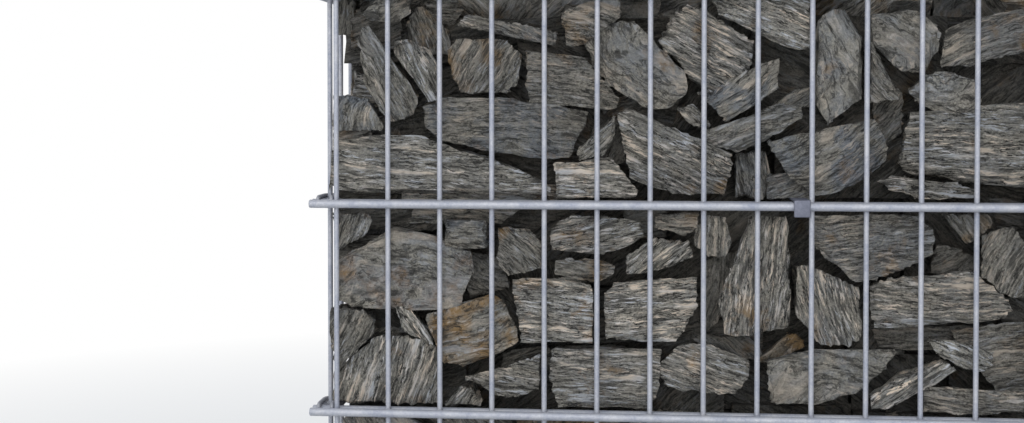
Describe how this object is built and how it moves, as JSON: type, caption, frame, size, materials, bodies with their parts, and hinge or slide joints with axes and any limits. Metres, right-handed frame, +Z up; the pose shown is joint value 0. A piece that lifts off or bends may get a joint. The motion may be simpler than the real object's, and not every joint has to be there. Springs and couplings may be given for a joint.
{
  "type": "gabion wall",
  "caption": "Free-standing gabion wall: a welded double-rod wire mesh cage, tied across by strips and corner clips, filled with broken stone.",
  "frame": {"origin": "centre of the wall's footprint, on the level it stands on", "axes": "+X along the wall, away from the end that the picture shows; +Y through it, from the seen face to the rear; +Z up"},
  "size_m": [2, 0.276, 0.83],
  "materials": {
    "mesh_steel": "hot-dip galvanised, matt light grey with a faint bluish bloom",
    "clip_steel": "galvanised strip and wire, a little darker and duller than the mesh",
    "stone": "split layered schist, grey to blue-grey with pale streaks and some rust-brown faces"
  },
  "bodies": {
    "root": {"corner_clips_front_left": "clip_steel", "corner_clips_front_right": "clip_steel", "corner_clips_rear_left": "clip_steel", "corner_clips_rear_right": "clip_steel", "end_mat_left": "mesh_steel", "end_mat_right": "mesh_steel", "front_mat_bay_1": "mesh_steel", "front_mat_bay_2": "mesh_steel", "rear_mat_bay_1": "mesh_steel", "rear_mat_bay_2": "mesh_steel", "seam_strip_1_level_1": "clip_steel", "seam_strip_1_level_2": "clip_steel", "seam_strip_1_level_3": "clip_steel", "seam_strip_1_level_4": "clip_steel", "seam_strip_1_level_5": "clip_steel", "stone_lift_bay_1_level_1": "stone", "stone_lift_bay_1_level_2": "stone", "stone_lift_bay_1_level_3": "stone", "stone_lift_bay_1_level_4": "stone", "stone_lift_bay_2_level_1": "stone", "stone_lift_bay_2_level_2": "stone", "stone_lift_bay_2_level_3": "stone", "stone_lift_bay_2_level_4": "stone", "strip_spacer_bay_1_level_2": "clip_steel", "strip_spacer_bay_1_level_4": "clip_steel", "strip_spacer_bay_2_level_2": "clip_steel", "strip_spacer_bay_2_level_4": "clip_steel"}
  },
  "joints": []
}
